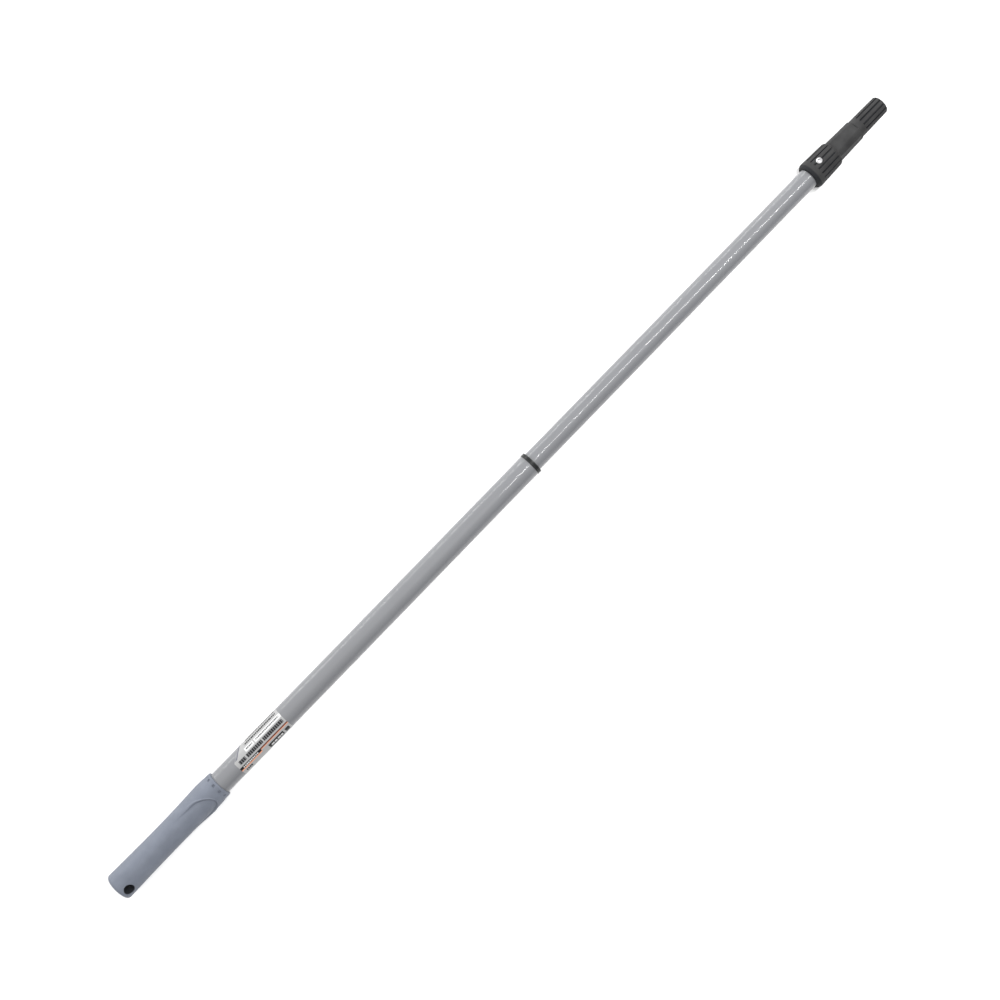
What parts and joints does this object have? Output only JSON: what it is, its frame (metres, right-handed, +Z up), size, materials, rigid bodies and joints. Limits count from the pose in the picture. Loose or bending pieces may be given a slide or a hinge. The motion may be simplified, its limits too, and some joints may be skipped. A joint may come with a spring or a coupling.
{
  "type": "telescopic extension pole",
  "caption": "Telescopic extension pole with a twist lock, a moulded grip with a hang hole, and a grooved taper tip for window cleaning tools.",
  "frame": {"origin": "on the surface the pole lies on, below the middle of its length as it is drawn out at rest", "axes": "+X along the pole from the grip to the tool tip, +Z up, the label on top"},
  "size_m": [1.138, 0.0316, 0.0325],
  "materials": {
    "tube_paint": "satin gloss grey paint",
    "grip_plastic": "fine matte blue-grey moulding",
    "label_print": null,
    "bush_plastic": "smooth black moulding",
    "lock_plastic": "natural nylon",
    "lock_ring_plastic": "red acetal",
    "drag_rubber": "matte rubber",
    "tip_plastic": "charcoal glass-filled moulding",
    "bright_steel": "bright zinc plated"
  },
  "bodies": {
    "outer_section": {"outer_tube": "tube_paint", "grip": "grip_plastic", "label": "label_print", "collar_bush": "bush_plastic"},
    "lock_slider": {"lock_ring": "lock_ring_plastic", "drag_ring": "drag_rubber"},
    "inner_section": {"inner_tube": "tube_paint", "guide_sleeve": "lock_plastic", "lock_spindle": "lock_plastic", "spindle_pin": "bright_steel", "lock_washer": "lock_plastic", "lock_screw": "bright_steel", "tool_tip": "tip_plastic", "tip_screw": "bright_steel"}
  },
  "joints": [
    {"name": "extend", "type": "slide", "parent": "outer_section", "child": "lock_slider", "axis": [1, 0, 0], "range_m": [-0.4195, 0.0785]},
    {"name": "twist_lock", "type": "hinge", "parent": "lock_slider", "child": "inner_section", "pos_m": [-0.1, 0, 0.01625], "axis": [1, 0, 0], "range_deg": [-30, 30]}
  ]
}
